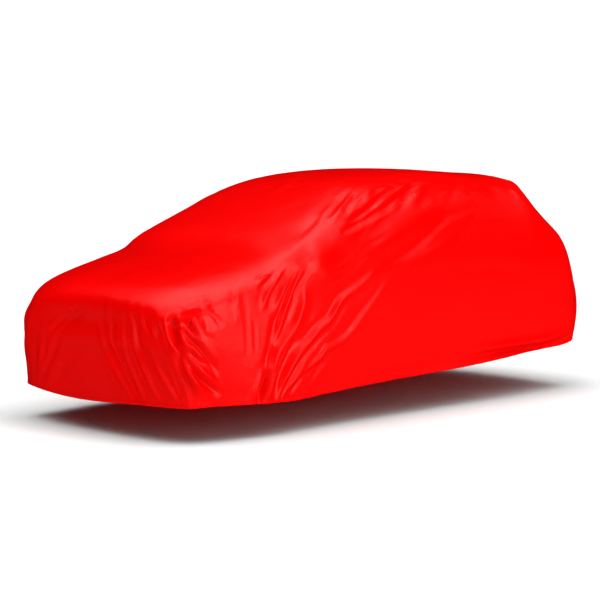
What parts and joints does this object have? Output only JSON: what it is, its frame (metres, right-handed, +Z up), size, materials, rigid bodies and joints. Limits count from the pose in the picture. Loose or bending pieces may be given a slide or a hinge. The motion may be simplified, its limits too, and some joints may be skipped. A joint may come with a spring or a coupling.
{
  "type": "car cover",
  "caption": "Fitted red cloth cover in the draped shape of a small hatchback, hollow and open underneath, with folds and a gathered hem.",
  "frame": {"origin": "the point under the top of the roof, on the centre line, where the vehicle's roof holds the cover up", "axes": "+Z up, the nose faces -Y and the tail +Y, +X is the vehicle's own left-hand side"},
  "size_m": [1.8225, 3.9831, 1.3754],
  "materials": {
    "red_cloth": "thin woven polyester with a soft satin shine"
  },
  "bodies": {
    "root": {"cover_cloth": "red_cloth"}
  },
  "joints": []
}
